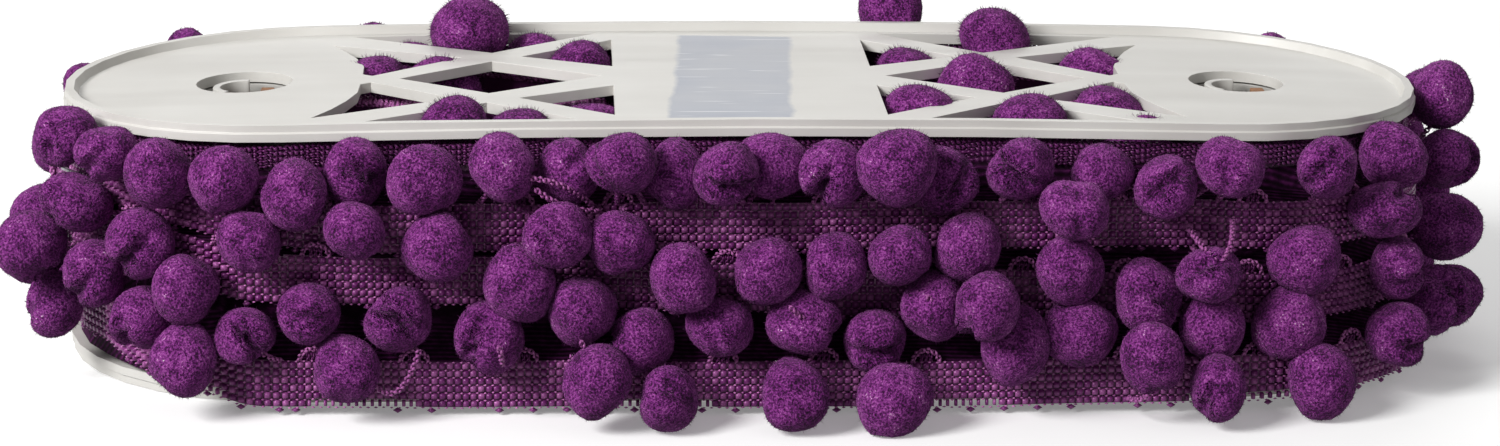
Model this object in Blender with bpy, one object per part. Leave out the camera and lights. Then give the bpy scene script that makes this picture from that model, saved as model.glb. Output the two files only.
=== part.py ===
"""Ball fringe trim wound on a flat plastic reel.

Millimetres in the named sizes, metres in the scene, +Z up.
The origin is on the surface the reel rests on, below the middle of the reel.
+X runs along the reel and -Y is its front.
"""
import math

import bmesh
import bpy
from mathutils import Matrix, Vector

MM = 0.001
GAP = 0.3

# The reel: two flanges with round ends, joined by a hollow post near each end
REEL_LENGTH = 275.0
REEL_WIDTH = 95.0
REEL_HEIGHT = 53.8
END_RADIUS = REEL_WIDTH / 2
END_CENTRE = REEL_LENGTH / 2 - END_RADIUS
STRAIGHT = 2 * END_CENTRE
END_ARC = math.pi * END_RADIUS
ROUND_TRIP = 2 * (STRAIGHT + END_ARC)
BOW = 2.6
RIM_HEIGHT = 3.3
RIM_STEP = 0.4
RIM_WIDTH = 2.2
RECESS = 1.7
PLATE_THICK = 2.2
PLATE_INSET = 3.0
END_STEPS = 16
BOW_CUT = 22.0

# The hub posts, set a little outside the middle of the round ends
HUB_PLACE = 101.3
HUB_HOLE = 9.7
HUB_OUTER = 12.2
HUB_STEPS = 28
COLLAR_INNER = 7.3
COLLAR_BITE = 0.6
COLLAR_DROP = 1.4
COLLAR_START = 60.0
COLLAR_STEPS = 17
HUB_FLOOR = 9.0
PEG_SIZE = (2.6, 3.4)
PEG_REACH = 4.6
PEG_DROP = 1.6

# The windows of one quarter of a flange: x along the reel and y across it
DIAMOND = [(70.0, 0.0), (51.5, 15.0), (29.0, 0.0), (51.5, -15.0)]
TRIANGLE = [(26.6, 9.0), (45.5, 19.5), (26.6, 35.5)]
RIM_SLOT = [(30.0, 42.3), (51.7, 23.4), (82.0, 42.3)]
FISHTAIL_TIP = [(85.6, 34.0), (58.0, 19.2), (75.6, 3.0), (77.6, 4.6)]
FISHTAIL_ARC_CENTRE = 146.0
FISHTAIL_ARC_STEPS = 4

# The trim: a woven tape with round pompoms hanging from its edge
TAPE_WIDTH = 9.2
TAPE_THICK = 1.3
BALL_RADIUS = 6.1
BALL_PITCH = 19.0
ROOT_RADIUS = 0.8

# Stations along the way round the reel, from the front's left end, anticlockwise from above
STRAIGHT_STEPS = 12
ARC_STEPS = 14

# Where each outer turn of tape lies, one row a place.
# Columns: along the way round, height of the tape's middle, reach from the reel's long middle line
TURNS = {
    "low": [
        (-75, 14.0, 47.0), (-45, 13.0, 48.0), (-22, 9.5, 51.5), (-4, 6.2, 55.5), (41, 6.1, 56.0),
        (118, 5.9, 56.5), (186, 6.8, 56.5), (215, 6.6, 54.0), (254, 8.5, 48.6), (300, 8.8, 49.5),
        (330, 9.0, 51.5), (420, 7.0, 54.0), (509, 8.0, 53.0),
    ],
    "middle": [
        (-75, 30.0, 50.0), (-37, 32.0, 51.0), (-20, 29.5, 52.0), (-5, 26.5, 53.0), (17, 26.0, 53.0),
        (45, 25.8, 53.0), (76, 24.5, 52.5), (118, 23.0, 52.5), (165, 22.5, 52.0), (205, 21.0, 51.0),
        (254, 22.0, 48.2), (300, 23.0, 49.0), (330, 24.0, 51.0), (420, 22.0, 52.0), (509, 24.0, 51.0),
    ],
    "upper": [
        (-75, 41.0, 49.0), (-37, 42.0, 50.0), (-20, 40.0, 51.0), (-5, 37.5, 52.0), (17, 35.8, 52.0),
        (45, 36.2, 52.0), (94, 36.4, 52.0), (130, 36.6, 52.0), (172, 36.8, 52.0), (205, 35.4, 51.0),
        (254, 35.0, 48.2), (300, 36.2, 49.0), (330, 37.5, 51.0), (420, 35.0, 52.0), (509, 38.0, 51.0),
    ],
}

# The wound roll behind the turns: valleys between them, and a well under the flange's windows
VALLEY_REACH = 46.5
VALLEY_ROOM = 0.5
BAND_TRIM = 0.2
FOOT_REACH = (42.5, 48.1)
FOOT_SLOPE = 4.0
SHOULDER_ROOM = 2.0
SHOULDER_RISE = 1.2
ROLL_TOP_DROP = 2.4
ROLL_RIDGE = (45.6, 43.4)
WELL_FLOOR = 37.5
WELL_REACH = 43.1

# Side steps tried for a pompom before it is moved further out: along and up, in nudges
NUDGE = 1.1
NUDGES = [(0, 0), (1, 0), (-1, 0), (0, 1), (0, -1), (1, 1), (-1, -1), (1, -1), (-1, 1)]
SEAT_OUT = 0.4
SEAT_UP = 0.1
PROBE_LEVELS = 4

# Where a pompom's root may start: steps along the tape, and how far inside its edge
ROOT_SHIFTS = (0.0, 2.5, -2.5, 5.0, -5.0, 7.5, -7.5)
ROOT_INSET = 0.9
ROOT_FROM_END = 2.0
ROOT_PROBES = 12
BALL_TURN = 2.4
BALL_TILT = 0.7

# Pompoms seen from the front, in three rows. A layer is how far out a pompom lies, 0 the deepest.
# Columns: along the way round, height, layer
LAYER_REACH = (51.0, 57.0, 62.0, 67.0)
FRONT_BALLS = {
    "upper": [
        (-43, 49, 0), (-31, 47, 0), (-20, 47, 1), (-9, 47, 1), (4, 44, 1), (14, 48, 0), (27, 47, 1), (42, 49, 1),
        (54, 48, 0), (64, 49, 1), (74, 45, 0), (84, 48, 1), (93, 49, 0), (103, 48, 1), (115, 48, 1),
        (126, 45, 0), (140, 49, 1), (156, 47, 0), (167, 44, 1), (151, 41, 2), (179, 49, 1),
        (197, 48, 1), (216, 46, 0), (210, 38, 1), (253, 50, 0), (247, 38, 0),
    ],
    "middle": [
        (-52, 27, 1), (-41, 29, 1), (-38, 37, 0), (-23, 33, 1), (-6, 36, 1), (13, 38, 1), (30, 34, 1),
        (51, 35, 1), (63, 36, 1), (76, 29, 2), (93, 28, 1), (105, 31, 1), (117, 31, 1), (130, 35, 1),
        (132, 22, 1), (150, 28, 1), (177, 28, 2), (193, 30, 1), (235, 26, 0), (213, 24, 0),
    ],
    "lower": [
        (-32, 26, 1), (-45, 16, 1), (-25, 17, 1), (-15, 25, 1), (-15, 12, 2), (-6, 15, 1), (5, 22, 1),
        (12, 10, 2), (22, 21, 1), (40, 16, 1), (45, 25, 0), (57, 21, 1), (61, 10, 2), (67, 16, 1),
        (83, 19, 1), (73, 6, 3), (97, 7, 3), (99, 17, 0), (114, 15, 1), (116, 6, 3), (124, 20, 0),
        (141, 14, 1), (152, 14, 0), (165, 22, 0), (165, 14, 2), (178, 16, 0), (178, 8, 2),
        (191, 16, 0), (195, 7, 2), (211, 11, 1), (226, 13, 0), (243, 10, 0),
    ],
}

# Pompoms of the ends and the back, in rows with a pompom at each pitch of the trim.
# Columns: first place, last place, height, layer
BACK_ROWS = [
    (268.0, 370.0, 45.5, 1), (383.2, 384.0, 55.0, 0), (401.0, 572.0, 45.5, 1), (277.5, 572.0, 36.0, 1),
    (268.0, 572.0, 26.5, 1), (277.5, 572.0, 17.0, 1), (270.0, 326.0, 8.0, 0), (330.0, 512.0, 7.5, 3),
    (525.0, 572.0, 8.0, 0),
]
BACK_SWAY = 1.6
SWAY_PER_BALL = 2.1
SWAY_PER_ROW = 1.7
RISE_PER_BALL = 3.3

# Pompoms below the top flange's windows.
# Columns: x, y, how far the middle may rise above the plate's lower face
WINDOW_BALLS = [
    (-56.5, 35.0, 3.0), (-69.5, 36.5, 0.0), (-43.0, 36.5, 0.0), (-75.0, 17.0, 0.0), (-62.0, 17.0, 0.0),
    (-33.5, 22.5, 1.0), (-58.0, -34.5, 0.0), (-44.5, -35.0, 0.0), (-31.0, -20.0, -3.0),
    (36.0, 22.5, 0.0), (55.5, 35.5, 1.0), (74.5, 19.0, 0.0), (34.5, -21.5, 0.0), (48.5, 5.0, -3.0),
    (55.0, -32.5, 3.0), (73.0, -16.0, -1.0), (78.0, -33.0, 0.0),
]

# Inner turns that stand on edge under the windows: y of each bundle's middle and its thickness
INNER_BUNDLES = {"front": (-22.0, 1.3), "centre": (-2.0, 7.0), "back": (22.0, 1.3)}
INNER_SPAN = (28.0, 80.0)
INNER_STEPS = 10
INNER_WAVE = 1.2
INNER_WAVE_STEP = 0.9
INNER_BITE = 2.0

# A steel staple holds the tape's outer end
STAPLE = {"along": -47.0, "length": 6.4, "wire": 0.7, "leg": 1.6}


def clear_scene():
    for old in list(bpy.data.objects):
        bpy.data.objects.remove(old, do_unlink=True)


def make_material(name, colour, roughness, metallic=0.0):
    made = bpy.data.materials.new(name)
    made.use_nodes = True
    shader = made.node_tree.nodes["Principled BSDF"]
    shader.inputs["Base Color"].default_value = (*colour, 1.0)
    shader.inputs["Roughness"].default_value = roughness
    shader.inputs["Metallic"].default_value = metallic
    made.diffuse_color = (*colour, 1.0)
    return made


def make_object(name, bm, material):
    """Turn a bmesh in millimetres into a named object in metres."""
    bmesh.ops.scale(bm, vec=(MM, MM, MM), verts=bm.verts)
    mesh = bpy.data.meshes.new(name)
    bm.to_mesh(mesh)
    bm.free()
    made = bpy.data.objects.new(name, mesh)
    bpy.context.scene.collection.objects.link(made)
    if material is not None:
        mesh.materials.append(material)
    return made


def apply_boolean(target, cutter, operation, own_overlaps=False):
    """Apply one Boolean and remove the second object."""
    change = target.modifiers.new("change", "BOOLEAN")
    change.operation = operation
    change.solver = "EXACT"
    change.use_self = own_overlaps
    change.object = cutter
    bpy.context.view_layer.update()
    graph = bpy.context.evaluated_depsgraph_get()
    shaped = bpy.data.meshes.new_from_object(target.evaluated_get(graph))
    target.modifiers.clear()
    old = target.data
    shaped.name = old.name
    target.data = shaped
    bpy.data.meshes.remove(old)
    bpy.data.objects.remove(cutter, do_unlink=True)


def tidy_mesh(target):
    """Merge doubled points and leave triangles only."""
    bm = bmesh.new()
    bm.from_mesh(target.data)
    bmesh.ops.remove_doubles(bm, verts=bm.verts, dist=0.000001)
    bmesh.ops.triangulate(bm, faces=bm.faces)
    bm.to_mesh(target.data)
    bm.free()


def lift(x):
    """How far the bowed top flange stands above its ends at x."""
    return BOW * (1.0 - (x / (REEL_LENGTH / 2)) ** 2)


def reel_point(along, reach, height):
    """A point on the way round the reel, reach out from the long middle line."""
    along = along % ROUND_TRIP
    if along <= STRAIGHT:
        return Vector((along - END_CENTRE, -reach, height))
    along -= STRAIGHT
    if along <= END_ARC:
        turn = along / END_RADIUS - math.pi / 2
        return Vector((END_CENTRE + reach * math.cos(turn), reach * math.sin(turn), height))
    along -= END_ARC
    if along <= STRAIGHT:
        return Vector((END_CENTRE - along, reach, height))
    turn = (along - STRAIGHT) / END_RADIUS + math.pi / 2
    return Vector((-END_CENTRE + reach * math.cos(turn), reach * math.sin(turn), height))


def stations():
    """Places along the way round where every ring has its points."""
    places = []
    start = 0.0
    for length, steps in ((STRAIGHT, STRAIGHT_STEPS), (END_ARC, ARC_STEPS)) * 2:
        places += [start + length * i / steps for i in range(steps)]
        start += length
    return places


def turn_at(turn, along):
    """Middle height and reach of a turn, eased between the rows of its table."""
    rows = TURNS[turn]
    first = rows[0][0]
    place = (along - first) % ROUND_TRIP + first
    closed = rows + [(rows[0][0] + ROUND_TRIP, rows[0][1], rows[0][2])]
    for (a, height_a, reach_a), (b, height_b, reach_b) in zip(closed, closed[1:]):
        if place <= b:
            share = (place - a) / (b - a)
            share = share * share * (3.0 - 2.0 * share)
            return height_a + (height_b - height_a) * share, reach_a + (reach_b - reach_a) * share
    return closed[-1][1], closed[-1][2]


def bridge_rings(bm, rings):
    """Join rings of points, each a closed loop, with quads."""
    for lower, upper in zip(rings, rings[1:]):
        count = len(lower)
        for i in range(count):
            j = (i + 1) % count
            bm.faces.new((lower[i], lower[j], upper[j], upper[i]))


def flange_outline(inset, height):
    """Points of a flange's outline, moved in by inset."""
    radius = END_RADIUS - inset
    points = []
    for side, centre in ((0, END_CENTRE), (1, -END_CENTRE)):
        for i in range(END_STEPS + 1):
            turn = math.pi * (i / END_STEPS - 0.5 + side)
            points.append((centre + radius * math.cos(turn), radius * math.sin(turn), height))
    return points


def window_outlines():
    """Every window of a flange as a closed outline in plan."""
    tip_x, tip_y = FISHTAIL_TIP[0]
    low_x, low_y = FISHTAIL_TIP[-1]
    radius = math.hypot(FISHTAIL_ARC_CENTRE - tip_x, tip_y)
    start = math.asin(low_y / radius)
    end = math.asin(tip_y / radius)
    arc = []
    for i in range(1, FISHTAIL_ARC_STEPS):
        turn = start + (end - start) * i / FISHTAIL_ARC_STEPS
        arc.append((FISHTAIL_ARC_CENTRE - radius * math.cos(turn), radius * math.sin(turn)))
    fishtail = FISHTAIL_TIP + arc
    outlines = []
    for side in (1, -1):
        outlines.append([(side * x, y) for x, y in DIAMOND])
        for across in (1, -1):
            for shape in (TRIANGLE, RIM_SLOT, fishtail):
                outlines.append([(side * x, across * y) for x, y in shape])
    return outlines


def add_prism(bm, outline, low, high):
    """Add a closed upright prism with the given outline in plan."""
    area = sum(a[0] * b[1] - b[0] * a[1] for a, b in zip(outline, outline[1:] + outline[:1]))
    points = outline if area > 0 else outline[::-1]
    lower = [bm.verts.new((x, y, low)) for x, y in points]
    upper = [bm.verts.new((x, y, high)) for x, y in points]
    bridge_rings(bm, [lower, upper])
    bm.faces.new(lower[::-1])
    bm.faces.new(upper)


def circle_points(centre, radius, steps):
    """Points of a circle in plan about a place on the reel's long middle line."""
    points = []
    for i in range(steps):
        turn = math.tau * (i + 0.5) / steps
        points.append((centre + radius * math.cos(turn), radius * math.sin(turn)))
    return points


def make_flange(name, material):
    """One flange, its rim upwards, with its windows and hub holes cut through."""
    bm = bmesh.new()
    profile = [
        (PLATE_INSET, -RECESS - PLATE_THICK),
        (PLATE_INSET, -RIM_HEIGHT),
        (0.0, -RIM_HEIGHT),
        (0.0, -RIM_HEIGHT / 2),
        (RIM_STEP, -RIM_HEIGHT / 2 + RIM_STEP / 2),
        (RIM_STEP, 0.0),
        (RIM_WIDTH, 0.0),
        (PLATE_INSET, -RECESS),
    ]
    rings = [[bm.verts.new(p) for p in flange_outline(inset, height)] for inset, height in profile]
    bridge_rings(bm, rings)
    bm.faces.new(rings[0][::-1])
    bm.faces.new(rings[-1])
    flange = make_object(name, bm, material)
    cutters = bmesh.new()
    for outline in window_outlines():
        add_prism(cutters, outline, -REEL_HEIGHT, REEL_HEIGHT)
    for side in (-1, 1):
        add_prism(cutters, circle_points(side * HUB_PLACE, HUB_HOLE, HUB_STEPS), -REEL_HEIGHT, REEL_HEIGHT)
    apply_boolean(flange, make_object(name + "_cutter", cutters, None), "DIFFERENCE")
    return flange


def bow_flange(flange):
    """Cut the top flange across at even steps and bend it upwards in the middle."""
    bm = bmesh.new()
    bm.from_mesh(flange.data)
    cuts = int(REEL_LENGTH / 2 / BOW_CUT)
    for i in range(-cuts, cuts + 1):
        geometry = bm.verts[:] + bm.edges[:] + bm.faces[:]
        bmesh.ops.bisect_plane(bm, geom=geometry, plane_co=(i * BOW_CUT * MM, 0, 0), plane_no=(1, 0, 0))
    for point in bm.verts:
        point.co.z += (REEL_HEIGHT + lift(point.co.x / MM)) * MM
    bm.to_mesh(flange.data)
    bm.free()


def make_flanges(material):
    top = make_flange("flange_top", material)
    bow_flange(top)
    tidy_mesh(top)
    bottom = make_flange("flange_bottom", material)
    for point in bottom.data.vertices:
        point.co.z = -point.co.z
        point.co.x = -point.co.x
    tidy_mesh(bottom)


def make_hub(side, material):
    """A hollow post between the flanges, with a floor and an open collar inside."""
    centre = side * HUB_PLACE
    plate_low = REEL_HEIGHT - RECESS - PLATE_THICK
    bottom = RECESS + PLATE_THICK + GAP
    top = plate_low - GAP
    bm = bmesh.new()
    profile = [(HUB_HOLE, bottom), (HUB_OUTER, bottom), (HUB_OUTER, top), (HUB_HOLE, top)]
    rings = []
    for radius, height in profile:
        bow = height > REEL_HEIGHT / 2
        ring = []
        for x, y in circle_points(centre, radius, HUB_STEPS):
            ring.append(bm.verts.new((x, y, height + (lift(x) if bow else 0.0))))
        rings.append(ring)
    inner = [
        bm.verts.new((x, y, HUB_FLOOR)) for x, y in circle_points(centre, HUB_HOLE, HUB_STEPS)
    ]
    bridge_rings(bm, rings + [inner])
    bm.faces.new(inner)
    bm.faces.new(rings[0][::-1])
    name = "hub_left" if side < 0 else "hub_right"
    hub = make_object(name, bm, material)
    collar = bmesh.new()
    outline = []
    for radius, order in ((HUB_HOLE + COLLAR_BITE, 1), (COLLAR_INNER, -1)):
        for i in range(COLLAR_STEPS)[::order]:
            turn = math.radians(COLLAR_START) + math.tau * (i + 0.5) / HUB_STEPS
            outline.append((centre + radius * math.cos(turn), radius * math.sin(turn)))
    add_prism(collar, outline, HUB_FLOOR - 1.0, top + lift(centre) - COLLAR_DROP)
    apply_boolean(hub, make_object(name + "_collar", collar, None), "UNION")
    tidy_mesh(hub)


def make_peg(side, material):
    """The small board block that stands in a hub, right of its middle."""
    bm = bmesh.new()
    width, depth = PEG_SIZE
    centre = side * HUB_PLACE + PEG_REACH
    outline = [
        (centre - width / 2, -depth / 2), (centre + width / 2, -depth / 2),
        (centre + width / 2, depth / 2), (centre - width / 2, depth / 2),
    ]
    add_prism(bm, outline, HUB_FLOOR + GAP, REEL_HEIGHT - RECESS + lift(centre) - PEG_DROP)
    name = "peg_left" if side < 0 else "peg_right"
    tidy_mesh(make_object(name, bm, material))


def roll_section(along):
    """The wound roll's outer side at one place: reach and height, from the bottom up."""
    half = TAPE_WIDTH / 2 - BAND_TRIM
    low, low_reach = turn_at("low", along)
    middle, middle_reach = turn_at("middle", along)
    upper, upper_reach = turn_at("upper", along)
    low_reach -= TAPE_THICK + GAP
    middle_reach -= TAPE_THICK + GAP
    upper_reach -= TAPE_THICK + GAP
    plate_top = RECESS + PLATE_THICK + GAP
    first_valley = (low + middle) / 2
    second_valley = (middle + upper) / 2
    x = reel_point(along, VALLEY_REACH, 0.0).x
    roll_top = REEL_HEIGHT - RECESS - PLATE_THICK - ROLL_TOP_DROP + lift(x)
    outer, inner = ROLL_RIDGE
    upper_top = min(upper + half, roll_top - SHOULDER_ROOM)
    foot_inner, foot_outer = FOOT_REACH
    return [
        (foot_inner, plate_top),
        (min(low_reach, max(foot_outer, low_reach - FOOT_SLOPE)), plate_top),
        (low_reach, max(low - half, plate_top + BAND_TRIM)),
        (low_reach, low + half),
        (min(VALLEY_REACH, low_reach), first_valley),
        (middle_reach, max(middle - half, first_valley + VALLEY_ROOM)),
        (middle_reach, min(middle + half, second_valley - VALLEY_ROOM)),
        (min(VALLEY_REACH, middle_reach), second_valley),
        (upper_reach, max(upper - half, second_valley + VALLEY_ROOM)),
        (upper_reach, upper_top),
        (outer, upper_top + SHOULDER_RISE),
        (outer, roll_top),
        (inner, roll_top),
        (WELL_REACH, WELL_FLOOR),
    ]


def make_roll(material):
    """The wound trim as one body, with a hole for each hub post."""
    bm = bmesh.new()
    places = stations()
    count = len(roll_section(0.0))
    rings = [[] for _ in range(count)]
    for along in places:
        for ring, (reach, height) in zip(rings, roll_section(along)):
            ring.append(bm.verts.new(reel_point(along, reach, height)))
    bridge_rings(bm, rings)
    bm.faces.new(rings[0][::-1])
    bm.faces.new(rings[-1])
    roll = make_object("wound_roll", bm, material)
    cutters = bmesh.new()
    for side in (-1, 1):
        outline = circle_points(side * HUB_PLACE, HUB_OUTER + GAP, HUB_STEPS)
        add_prism(cutters, outline, -REEL_HEIGHT, REEL_HEIGHT * 2)
    apply_boolean(roll, make_object("hub_cutter", cutters, None), "DIFFERENCE")
    tidy_mesh(roll)


def roll_reach(along, height):
    """How far out the roll alone reaches at a height."""
    reach = 0.0
    section = roll_section(along)
    for (reach_a, height_a), (reach_b, height_b) in zip(section, section[1:]):
        low, high = sorted((height_a, height_b))
        if low <= height <= high and high > low:
            share = (height - height_a) / (height_b - height_a)
            reach = max(reach, reach_a + (reach_b - reach_a) * share)
    return reach


def wound_reach(along, height):
    """How far out the roll and its turns of tape reach at a height."""
    reach = roll_reach(along, height)
    for turn in TURNS:
        middle, tape_reach = turn_at(turn, along)
        if abs(height - middle) <= TAPE_WIDTH / 2:
            reach = max(reach, tape_reach)
    return reach


def flange_distance(reach, height, low, high):
    """Distance from a point to a flange that lies between two heights."""
    return math.hypot(max(reach - END_RADIUS, 0.0), max(low - height, height - high, 0.0))


def ball_hits(along, height, reach, placed):
    """Whether a pompom there would cut the roll, the tape, a flange or another pompom."""
    for level in range(-PROBE_LEVELS, PROBE_LEVELS + 1):
        away = BALL_RADIUS * level / (PROBE_LEVELS + 0.2)
        spread = math.sqrt(BALL_RADIUS ** 2 - away ** 2)
        for shift in (-BALL_RADIUS / 2, 0.0, BALL_RADIUS / 2):
            if reach - spread - GAP < wound_reach(along + shift, height + away):
                return True
    centre = reel_point(along, reach, height)
    thick = RECESS + PLATE_THICK
    top = REEL_HEIGHT + lift(centre.x)
    for low, high in ((top - thick, top), (0.0, thick)):
        if flange_distance(reach, height, low, high) < BALL_RADIUS + GAP:
            return True
    return any((centre - other).length < 2 * BALL_RADIUS + GAP for other in placed)


def seat_balls():
    """Seat every outer pompom, deepest layer first, moved out until it is clear."""
    wanted = []
    for rows in FRONT_BALLS.values():
        wanted += [(layer, along, height) for along, height, layer in rows]
    for row, (along, last, height, layer) in enumerate(BACK_ROWS):
        index = 0
        while along < last:
            sway = BACK_SWAY * math.sin(SWAY_PER_BALL * index + SWAY_PER_ROW * row)
            rise = BACK_SWAY * math.cos(RISE_PER_BALL * index + row)
            wanted.append((layer, along + sway, height + rise))
            along += BALL_PITCH
            index += 1
    wanted.sort(key=lambda item: item[0])
    placed = []
    for layer, along, height in wanted:
        placed.append(seat_ball(along, height, LAYER_REACH[layer], placed))
    return placed


def seat_ball(along, height, reach, placed):
    """The nearest clear place for one pompom, a small step to the side or else further out."""
    while True:
        for side, up in NUDGES:
            spot = (along + side * NUDGE, max(height + up * NUDGE, BALL_RADIUS + GAP))
            if not ball_hits(*spot, reach, placed):
                return reel_point(spot[0], reach, spot[1])
        reach += SEAT_OUT
        height += SEAT_UP


def way_round(point):
    """The place along the way round and the reach of a point: the inverse of reel_point."""
    if abs(point.x) <= END_CENTRE:
        if point.y < 0:
            return point.x + END_CENTRE, -point.y
        return STRAIGHT + END_ARC + END_CENTRE - point.x, point.y
    centre = math.copysign(END_CENTRE, point.x)
    reach = math.hypot(point.x - centre, point.y)
    if point.x > 0:
        return STRAIGHT + END_RADIUS * (math.atan2(point.y, point.x - centre) + math.pi / 2), reach
    turn = math.atan2(point.y, point.x - centre) % math.tau
    return 2 * STRAIGHT + END_ARC + END_RADIUS * (turn - math.pi / 2), reach


def segment_distance(point, start, end):
    along = end - start
    share = max(0.0, min(1.0, (point - start).dot(along) / along.length_squared))
    return (point - start - along * share).length


def segments_apart(a, b):
    """The least distance between two short segments, from points along each."""
    points = [a[0].lerp(a[1], i / ROOT_PROBES) for i in range(ROOT_PROBES + 1)]
    return min(segment_distance(point, b[0], b[1]) for point in points)


STRETCHES = {
    "front": (0.0, STRAIGHT),
    "right_front": (STRAIGHT, STRAIGHT + END_ARC / 2),
    "right_back": (STRAIGHT + END_ARC / 2, STRAIGHT + END_ARC),
    "back": (STRAIGHT + END_ARC, 2 * STRAIGHT + END_ARC),
    "left_back": (2 * STRAIGHT + END_ARC, 2 * STRAIGHT + 1.5 * END_ARC),
    "left_front": (2 * STRAIGHT + 1.5 * END_ARC, ROUND_TRIP),
}


def choose_roots(balls):
    """Give each pompom a short root on a tape's edge that passes clear of all the rest."""
    roots = []
    for index, centre in enumerate(balls):
        along = way_round(centre)[0]
        others = [other for other in balls if other is not centre]
        choices = []
        for turn in TURNS:
            for place in [(along + shift) % ROUND_TRIP for shift in ROOT_SHIFTS]:
                if min(abs(place - cut) for span in STRETCHES.values() for cut in span) < ROOT_FROM_END:
                    continue
                for edge in (-1, 1):
                    start = chord_point(turn, place, TAPE_THICK / 2, edge * (TAPE_WIDTH / 2 - ROOT_INSET))
                    choices.append((turn, place, start))
        choices.sort(key=lambda choice: (choice[2] - centre).length)
        for turn, place, start in choices:
            if root_is_clear(turn, start, centre, others, roots):
                roots.append((turn, place, start, centre))
                break
        else:
            print("no clear root for pompom", index, [round(value, 1) for value in centre])
    return roots


def root_is_clear(turn, start, centre, others, roots):
    """Whether a root keeps off every other pompom, root and turn."""
    clear = BALL_RADIUS + ROOT_RADIUS + GAP
    if any(segment_distance(other, start, centre) < clear for other in others):
        return False
    apart = 2 * (ROOT_RADIUS + GAP)
    if any(segments_apart((start, centre), (root[2], root[3])) < apart for root in roots):
        return False
    return not crosses_tape(start, centre, turn)


def crosses_tape(start, end, own):
    """Whether a root would pass through the roll or another turn on its way out."""
    clear = ROOT_RADIUS + GAP
    for i in range(2, ROOT_PROBES):
        point = start.lerp(end, i / ROOT_PROBES)
        along, reach = way_round(point)
        if reach < roll_reach(along, point.z) + clear:
            return True
        for turn in TURNS:
            middle, tape_reach = turn_at(turn, along)
            near = abs(point.z - middle) < TAPE_WIDTH / 2 + clear
            if turn != own and near and reach < tape_reach + clear:
                return True
    return False


def add_ball(bm, centre, start, index):
    """One pompom and its root, which ends inside the tape and inside the pompom."""
    spin = Matrix.Rotation(BALL_TURN * index, 4, "Z") @ Matrix.Rotation(BALL_TILT * index, 4, "X")
    place = Matrix.Translation(centre) @ spin
    bmesh.ops.create_icosphere(bm, subdivisions=1, radius=BALL_RADIUS, matrix=place)
    run = centre - start
    aim = Vector((0, 0, 1)).rotation_difference(run.normalized()).to_matrix().to_4x4()
    bmesh.ops.create_cone(
        bm, cap_ends=True, segments=3, radius1=ROOT_RADIUS, radius2=ROOT_RADIUS, depth=run.length,
        matrix=Matrix.Translation((start + centre) / 2) @ aim,
    )


def chord_point(turn, along, inward, height):
    """A point of a tape, on the straight line between the two stations around it."""
    places = stations() + [ROUND_TRIP]
    for a, b in zip(places, places[1:]):
        if a <= along <= b:
            share = (along - a) / (b - a)
            ends = []
            for place in (a, b):
                middle, reach = turn_at(turn, place)
                ends.append(reel_point(place if place < ROUND_TRIP else 0.0, reach - inward, middle + height))
            return ends[0].lerp(ends[1], share)
    return None


def make_tape(turn, stretch, material, roots):
    """One stretch of one outer turn of tape with its pompoms fused to it."""
    start, end = STRETCHES[stretch]
    places = [start + GAP] + [p for p in stations() if start + GAP < p < end - GAP] + [end - GAP]
    half = TAPE_WIDTH / 2
    corners = ((0.0, -half), (0.0, half), (TAPE_THICK, half), (TAPE_THICK, -half))
    bm = bmesh.new()
    rings = []
    for along in places:
        rings.append([bm.verts.new(chord_point(turn, along, inward, height)) for inward, height in corners])
    bridge_rings(bm, rings)
    bm.faces.new(rings[0][::-1])
    bm.faces.new(rings[-1])
    bmesh.ops.recalc_face_normals(bm, faces=bm.faces)
    name = "tape_" + turn + "_" + stretch
    tape = make_object(name, bm, material)
    balls = bmesh.new()
    own = [root for root in roots if root[0] == turn and start < root[1] < end]
    for index, root in enumerate(own):
        add_ball(balls, root[3], root[2], index)
    if own:
        apply_boolean(tape, make_object(name + "_balls", balls, None), "UNION", own_overlaps=True)
    tidy_mesh(tape)


def outline_distance(x, y):
    """Distance from a point to the edge of the window that it lies in, or 0 on the plate."""
    for outline in window_outlines():
        inside = False
        least = 1000.0
        for (ax, ay), (bx, by) in zip(outline, outline[1:] + outline[:1]):
            if (ay > y) != (by > y) and x < ax + (y - ay) * (bx - ax) / (by - ay):
                inside = not inside
            edge = Vector((ax, ay, 0.0))
            least = min(least, segment_distance(Vector((x, y, 0.0)), edge, Vector((bx, by, 0.0))))
        if inside:
            return least
    return 0.0


def seat_window_balls():
    """Seat the pompoms under the windows as high as the plate around each window lets them."""
    placed = []
    for x, y, rise in WINDOW_BALLS:
        low = REEL_HEIGHT - RECESS - PLATE_THICK + lift(x)
        free = outline_distance(x, y)
        clear = BALL_RADIUS + GAP
        if free >= clear:
            height = low + rise
        else:
            height = low - math.sqrt(clear ** 2 - free ** 2) + min(rise, 0.0)
        placed.append(Vector((x, y, max(height, WELL_FLOOR + BALL_RADIUS + GAP))))
    return placed


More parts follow.
